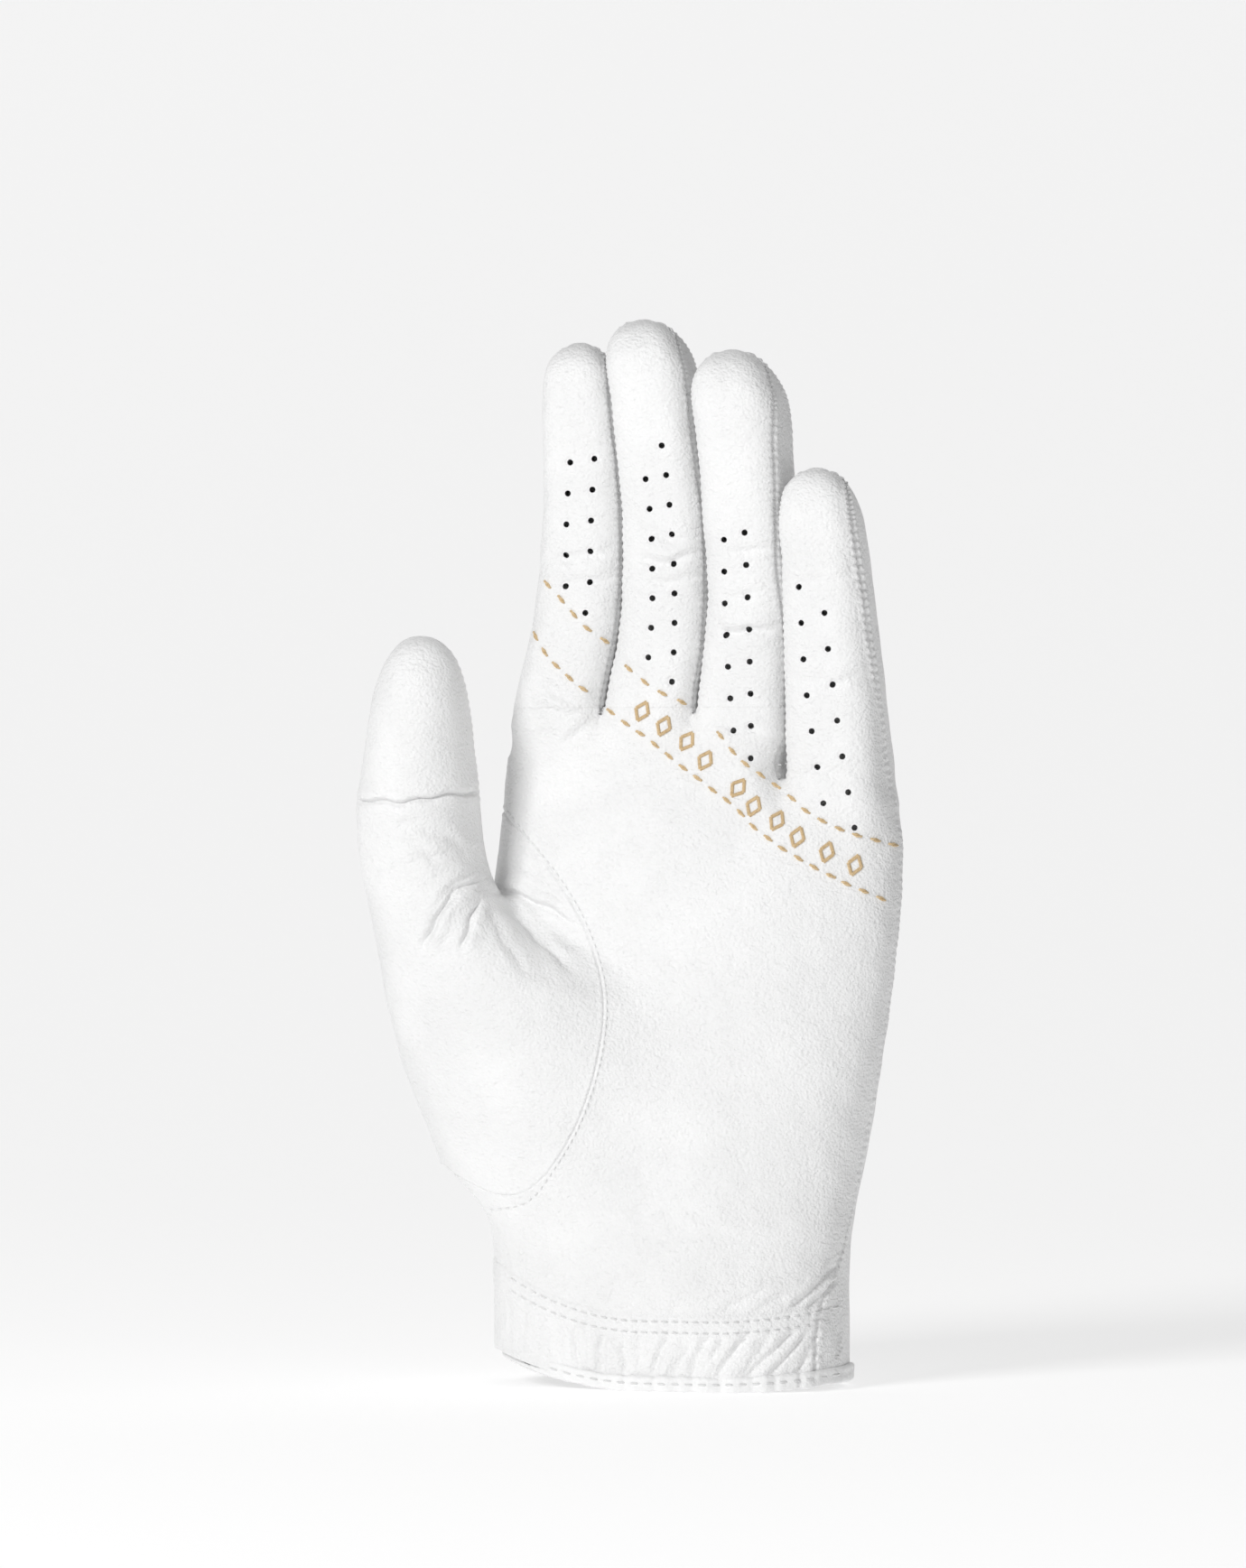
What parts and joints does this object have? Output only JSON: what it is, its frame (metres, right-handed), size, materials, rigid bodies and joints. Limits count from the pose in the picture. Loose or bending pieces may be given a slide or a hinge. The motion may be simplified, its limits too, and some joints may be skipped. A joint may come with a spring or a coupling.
{
  "type": "golf glove",
  "caption": "Left-hand leather golf glove: sewn palm, back, thumb, finger side strips and elastic cuff, with fingers that flex and a peel-open wrist tab.",
  "frame": {"origin": "centre of the glove's bounding box at its base, on the plane that the cuff's edge stands on", "axes": "+Z from the cuff to the fingertips, -Y out of the palm, +X from the thumb to the little finger"},
  "size_m": [0.1128, 0.061, 0.2227],
  "materials": {
    "palm_cabretta": "soft white full-grain hair-sheep leather, matt with a faint sheen",
    "back_cabretta": "soft white full-grain hair-sheep leather, matt with a faint sheen",
    "strip_leather": "thin white leather strips",
    "binding_leather": "smooth white folded binding",
    "gold_thread": "thick twisted gold-beige embroidery thread",
    "white_thread": "fine white polyester thread",
    "elastic": "woven white elastic",
    "loop_fabric": "white brushed loop fastener",
    "hook_tape": "white moulded hook fastener"
  },
  "bodies": {
    "hand": {"palm_leather": "palm_cabretta", "back_leather": "back_cabretta", "thumb_base_leather": "palm_cabretta", "cuff_band": "palm_cabretta", "cuff_binding": "binding_leather", "cuff_elastic": "elastic", "slit_binding": "binding_leather", "closure_loop_patch": "loop_fabric", "tab_anchor": "back_cabretta", "ring_root_side": "strip_leather", "index_middle_web": "strip_leather", "middle_ring_web": "strip_leather", "ring_little_web": "strip_leather", "gold_stitching_upper": "gold_thread", "gold_stitching_lower": "gold_thread", "embroidered_lozenges": "gold_thread", "thumb_seam_stitching": "white_thread", "cuff_seam_stitching": "white_thread", "binding_stitching": "white_thread", "tab_anchor_stitching": "white_thread"},
    "thumb_tip": {"thumb_tip_palm_leather": "palm_cabretta", "thumb_tip_back_leather": "back_cabretta"},
    "closure_tab": {"closure_tab": "back_cabretta", "closure_hook_patch": "hook_tape"},
    "index_finger": {"index_palm_leather": "palm_cabretta", "index_back_leather": "back_cabretta", "index_ulnar_fourchette": "strip_leather", "gold_stitching_index": "gold_thread"},
    "middle_finger": {"middle_palm_leather": "palm_cabretta", "middle_back_leather": "back_cabretta", "middle_radial_fourchette": "strip_leather", "middle_ulnar_fourchette": "strip_leather", "gold_stitching_middle": "gold_thread"},
    "ring_finger": {"ring_palm_leather": "palm_cabretta", "ring_back_leather": "back_cabretta", "ring_radial_fourchette": "strip_leather", "ring_ulnar_fourchette": "strip_leather"},
    "little_finger": {"little_palm_leather": "palm_cabretta", "little_back_leather": "back_cabretta", "little_radial_fourchette": "strip_leather"}
  },
  "joints": [
    {"name": "index_flex", "type": "hinge", "parent": "hand", "child": "index_finger", "pos_m": [-0.01869, -0.00592, 0.142], "axis": [0.9967, 0, -0.0809], "range_deg": [0, 80]},
    {"name": "middle_flex", "type": "hinge", "parent": "hand", "child": "middle_finger", "pos_m": [0.00201, -0.00612, 0.142], "axis": [0.9994, 0, -0.035], "range_deg": [0, 80]},
    {"name": "ring_flex", "type": "hinge", "parent": "hand", "child": "ring_finger", "pos_m": [0.02261, -0.00612, 0.14], "axis": [1, 0, -0.0026], "range_deg": [0, 80]},
    {"name": "little_flex", "type": "hinge", "parent": "hand", "child": "little_finger", "pos_m": [0.04321, -0.00652, 0.126], "axis": [1, 0, 0], "range_deg": [0, 80]},
    {"name": "thumb_flex", "type": "hinge", "parent": "hand", "child": "thumb_tip", "pos_m": [-0.04133, -0.02763, 0.122], "axis": [0.9848, 0.174, 0], "range_deg": [0, 60]},
    {"name": "tab_peel", "type": "hinge", "parent": "hand", "child": "closure_tab", "pos_m": [0.01171, 0.03043, 0.0235], "axis": [0, 0, -1], "range_deg": [0, 150]}
  ]
}
